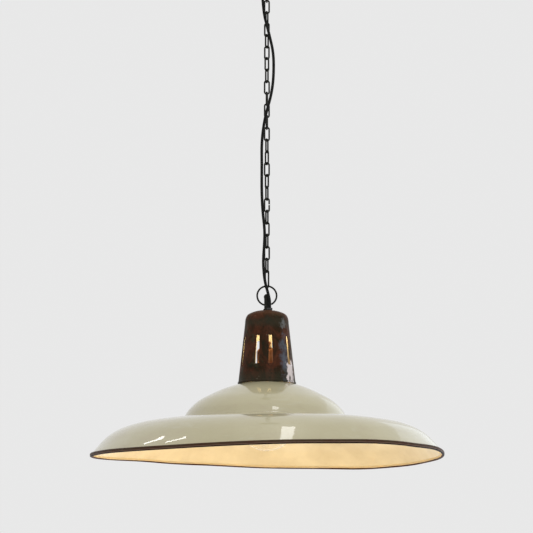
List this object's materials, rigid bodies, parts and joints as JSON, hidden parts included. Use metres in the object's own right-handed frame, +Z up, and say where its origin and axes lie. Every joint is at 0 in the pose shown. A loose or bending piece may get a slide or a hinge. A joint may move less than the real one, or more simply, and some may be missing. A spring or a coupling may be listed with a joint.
{
  "type": "pendant ceiling light",
  "caption": "Wide enamelled bell shade under a slotted metal cap, hung on a chain and ring from a ceiling canopy, with a globe bulb that screws into its lampholder.",
  "frame": {"origin": "middle of the ceiling bracket's mounting face, on the ceiling", "axes": "+Z up along the chain to the ceiling, +X along the bracket and in the plane of the ring, -Y to the front"},
  "size_m": [0.542, 0.542, 0.8011],
  "materials": {
    "shade_enamel": "gloss vitreous enamel",
    "rim_enamel": "gloss dark enamel",
    "cap_patina": "worn brown patina",
    "black_iron": "blackened",
    "canopy_paint": "satin black",
    "zinc_steel": "zinc plated",
    "cord_cover": "matt",
    "bush_rubber": "matt",
    "block_plastic": "moulded",
    "holder_brass": "aged copper brown",
    "holder_ceramic": "unglazed",
    "bulb_glass": "clear",
    "bulb_screw": "nickelled",
    "bulb_tip": "solder",
    "bulb_black_glass": "black glass",
    "filament": "coated filament"
  },
  "bodies": {
    "canopy": {"ceiling_bracket": "zinc_steel", "canopy_cup": "canopy_paint", "hook": "black_iron", "hook_nuts": "zinc_steel", "cord_bush_top": "bush_rubber", "terminal_block": "block_plastic", "terminal_screws": "zinc_steel", "earth_screw": "zinc_steel", "lead_in_canopy": "cord_cover", "cord_top": "cord_cover"},
    "top_link": {"chain_link_01": "black_iron", "cord_upper": "cord_cover"},
    "chain": {"chain_links_02_03": "black_iron", "chain_links_04_05": "black_iron", "chain_links_06_07": "black_iron", "chain_links_08_09": "black_iron", "chain_links_10_11": "black_iron", "chain_links_12_13": "black_iron", "chain_links_14_15": "black_iron", "chain_links_16_17": "black_iron", "chain_links_18_19": "black_iron", "chain_links_20_21": "black_iron", "chain_links_22_23": "black_iron", "chain_links_24_25": "black_iron", "cord_main": "cord_cover"},
    "ring": {"ring": "black_iron", "cord_lower": "cord_cover"},
    "lamp": {"hanger_post": "black_iron", "post_washer": "zinc_steel", "stem_nuts": "zinc_steel", "cord_bush_cap": "bush_rubber", "cap": "cap_patina", "stirrup": "zinc_steel", "stirrup_screws": "zinc_steel", "shade_spider": "zinc_steel", "shade": "shade_enamel", "rim_bead": "rim_enamel", "holder_dome": "holder_brass", "holder_skirt": "holder_brass", "shade_ring_nut": "holder_brass", "holder_insert": "holder_ceramic", "holder_shell": "holder_brass", "centre_contact": "holder_brass", "cord_grip": "holder_brass", "lead_in_cap": "cord_cover", "cord_end": "cord_cover"},
    "bulb_slide": {"bulb_contact": "bulb_tip"},
    "bulb": {"bulb_globe": "bulb_glass", "bulb_cap": "bulb_screw", "bulb_insulator": "bulb_black_glass", "bulb_stem": "bulb_glass", "bulb_filament": "filament"}
  },
  "joints": [
    {"name": "hook_swing", "type": "hinge", "parent": "canopy", "child": "top_link", "pos_m": [0, 0, -0.0472], "axis": [1, 0, 0], "range_deg": [-20, 20], "deforming": ["cord_top", "cord_upper"]},
    {"name": "chain_swing", "type": "hinge", "parent": "top_link", "child": "chain", "pos_m": [0, 0, -0.06612], "axis": [0, 1, 0], "range_deg": [-20, 20], "deforming": ["cord_main"]},
    {"name": "ring_swing", "type": "hinge", "parent": "chain", "child": "ring", "pos_m": [0, 0, -0.53652], "axis": [0, 1, 0], "range_deg": [-12, 12], "deforming": ["cord_lower"]},
    {"name": "lamp_tilt", "type": "hinge", "parent": "ring", "child": "lamp", "pos_m": [0, 0, -0.5637], "axis": [1, 0, 0], "range_deg": [-15, 15], "deforming": ["cord_end"]},
    {"name": "bulb_travel", "type": "slide", "parent": "lamp", "child": "bulb_slide", "axis": [0, 0, -1], "range_m": [0, 0.0146]},
    {"name": "bulb_turn", "type": "hinge", "parent": "bulb_slide", "child": "bulb", "pos_m": [0, 0, -0.66], "axis": [0, 0, -1], "range_deg": [0, 1440]}
  ],
  "couplings": [
    {"joint": "bulb_travel", "follows": "bulb_turn", "m_per_rad": 0.00057774}
  ]
}
